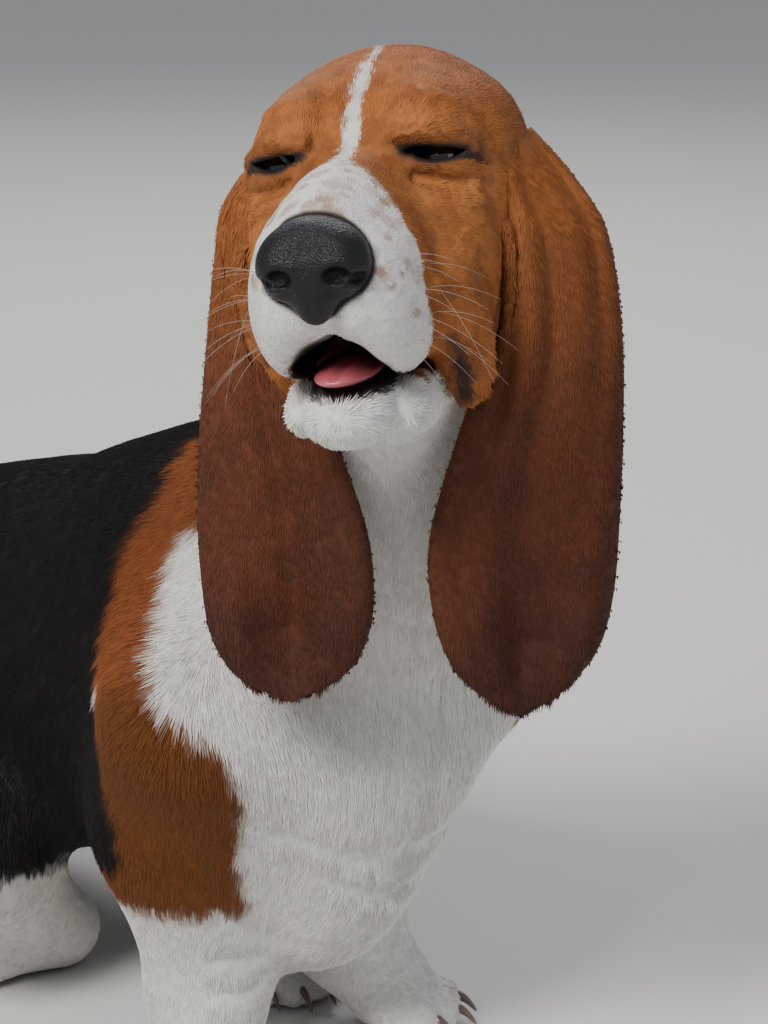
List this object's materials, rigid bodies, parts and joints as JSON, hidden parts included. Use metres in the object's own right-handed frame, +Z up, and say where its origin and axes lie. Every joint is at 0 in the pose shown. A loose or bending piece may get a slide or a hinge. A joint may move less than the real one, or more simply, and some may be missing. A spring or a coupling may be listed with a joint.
{
  "type": "basset hound",
  "caption": "Life-size still basset hound sitting, head raised and turned to its right, long hanging ears, mouth a little open",
  "frame": {"origin": "middle of the bounding box, on the floor", "axes": "+Z up, the chest faces -Y, the dog's left side is +X"},
  "size_m": [0.3274, 0.6394, 0.5283],
  "materials": {
    "white_coat": "short white fur",
    "tan_coat": "short orange-tan fur",
    "black_coat": "short glossy black fur",
    "ear_coat": "short red-brown fur",
    "nose_leather": "moist black skin",
    "eye": "wet dark eye",
    "tongue": "moist pink",
    "claw": "worn dark horn"
  },
  "bodies": {
    "root": {"eye_left": "eye", "eye_right": "eye", "nose": "nose_leather", "tongue": "tongue", "head": "tan_coat", "lower_jaw": "white_coat", "ear_left": "ear_coat", "ear_right": "ear_coat", "claw_fore_left_1": "claw", "claw_fore_left_2": "claw", "claw_fore_left_3": "claw", "claw_fore_left_4": "claw", "claw_hind_left_1": "claw", "claw_hind_left_2": "claw", "claw_hind_left_3": "claw", "claw_hind_left_4": "claw", "claw_fore_right_1": "claw", "claw_fore_right_2": "claw", "claw_fore_right_3": "claw", "claw_fore_right_4": "claw", "claw_hind_right_1": "claw", "claw_hind_right_2": "claw", "claw_hind_right_3": "claw", "claw_hind_right_4": "claw", "forepaw_left": "white_coat", "foreleg_left": "white_coat", "forepaw_right": "white_coat", "foreleg_right": "white_coat", "hind_paw_left": "white_coat", "hind_paw_right": "white_coat", "hind_leg_left": "black_coat", "hind_leg_right": "white_coat", "tail": "black_coat", "neck": "tan_coat", "torso": "white_coat", "hindquarters": "black_coat"}
  },
  "joints": []
}
